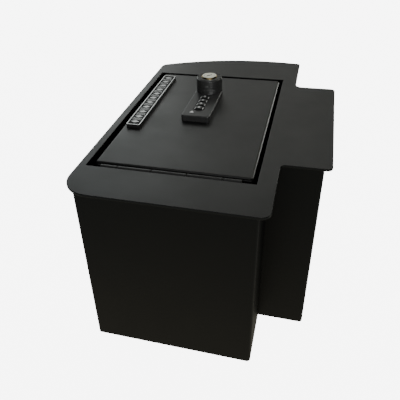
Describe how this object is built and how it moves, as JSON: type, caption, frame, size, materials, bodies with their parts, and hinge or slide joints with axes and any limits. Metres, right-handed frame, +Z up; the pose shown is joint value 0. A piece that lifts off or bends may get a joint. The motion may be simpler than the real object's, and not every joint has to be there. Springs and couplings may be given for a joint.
{
  "type": "console safe",
  "caption": "Black steel drop-in console safe with a side wing, a wide top flange, a front-hinged lid, a dial combination lock and a keyed turning knob.",
  "frame": {"origin": "centre of the bounding box at the underside of the floor", "axes": "+X towards the wing side, +Y from the hinge end to the lock end of the lid, +Z up through the lid"},
  "size_m": [0.2498, 0.387, 0.247],
  "materials": {
    "black_powder_coat": "fine-textured semi-matte powder coat",
    "hinge_black": "satin black coat over steel",
    "plated_steel": "zinc-plated steel",
    "bumper_rubber": "matte rubber",
    "lock_black": "satin black die casting",
    "dial_plastic": "black moulded wheel with white numbers",
    "hub_alloy": "plain die-cast alloy",
    "cylinder_brass": "turned brass",
    "cylinder_chrome": "nickel-chrome plate",
    "badge_silver": "bright edge, dark painted sides",
    "badge_field": "black enamel field"
  },
  "bodies": {
    "safe_body": {"top_flange": "black_powder_coat", "front_shell": "black_powder_coat", "rear_shell": "black_powder_coat", "wing_shell": "black_powder_coat", "floor_plate": "black_powder_coat", "hinge_rail": "black_powder_coat", "hinge_body_leaf": "hinge_black", "hinge_pin": "plated_steel", "hinge_body_rivets": "plated_steel", "strike_ledge": "black_powder_coat", "lid_bumpers": "bumper_rubber"},
    "lid": {"lid_panel": "black_powder_coat", "hinge_lid_leaf": "hinge_black", "hinge_lid_rivets": "plated_steel", "badge_plate": "badge_silver", "badge_insert": "badge_field", "badge_clips": "plated_steel", "lock_case": "lock_black", "lock_base": "lock_black", "lock_screws": "plated_steel", "dial_axle": "plated_steel", "comb_spring": "plated_steel", "detent_spring": "plated_steel"},
    "knob": {"knob": "lock_black", "drive_cam": "plated_steel", "neck_clip": "plated_steel", "cylinder_housing": "cylinder_brass", "cylinder_cap": "cylinder_chrome"},
    "plug": {"key_plug": "cylinder_chrome", "wafers": "cylinder_brass", "tail_shaft": "plated_steel", "latch_cam": "plated_steel", "cam_washer": "plated_steel", "cam_nut": "plated_steel"},
    "comb": {"locking_comb": "plated_steel"},
    "dial_1": {"dial_wheel_1": "dial_plastic", "dial_hub_1": "hub_alloy"},
    "dial_2": {"dial_wheel_2": "dial_plastic", "dial_hub_2": "hub_alloy"},
    "dial_3": {"dial_wheel_3": "dial_plastic", "dial_hub_3": "hub_alloy"},
    "dial_4": {"dial_wheel_4": "dial_plastic", "dial_hub_4": "hub_alloy"}
  },
  "joints": [
    {"name": "lid_hinge", "type": "hinge", "parent": "safe_body", "child": "lid", "pos_m": [-0.02925, -0.1395, 0.2171], "axis": [1, 0, 0], "range_deg": [0, 100]},
    {"name": "knob_turn", "type": "hinge", "parent": "lid", "child": "knob", "pos_m": [-0.0314, 0.054, 0.2455], "axis": [0, 0, -1], "range_deg": [0, 90]},
    {"name": "key_turn", "type": "hinge", "parent": "knob", "child": "plug", "pos_m": [-0.0314, 0.054, 0.2455], "axis": [0, 0, -1], "range_deg": [0, 90]},
    {"name": "comb_slide", "type": "slide", "parent": "lid", "child": "comb", "axis": [0, 1, 0], "range_m": [0, 0.0026]},
    {"name": "dial_1_turn", "type": "hinge", "parent": "lid", "child": "dial_1", "pos_m": [-0.0314, -0.0041, 0.22125], "axis": [0, 1, 0], "continuous": true},
    {"name": "dial_2_turn", "type": "hinge", "parent": "lid", "child": "dial_2", "pos_m": [-0.0314, 0.0065, 0.22125], "axis": [0, 1, 0], "continuous": true},
    {"name": "dial_3_turn", "type": "hinge", "parent": "lid", "child": "dial_3", "pos_m": [-0.0314, 0.0171, 0.22125], "axis": [0, 1, 0], "continuous": true},
    {"name": "dial_4_turn", "type": "hinge", "parent": "lid", "child": "dial_4", "pos_m": [-0.0314, 0.0277, 0.22125], "axis": [0, 1, 0], "continuous": true}
  ],
  "couplings": [
    {"joint": "comb_slide", "follows": "knob_turn", "m_per_rad": 0.0016552}
  ]
}
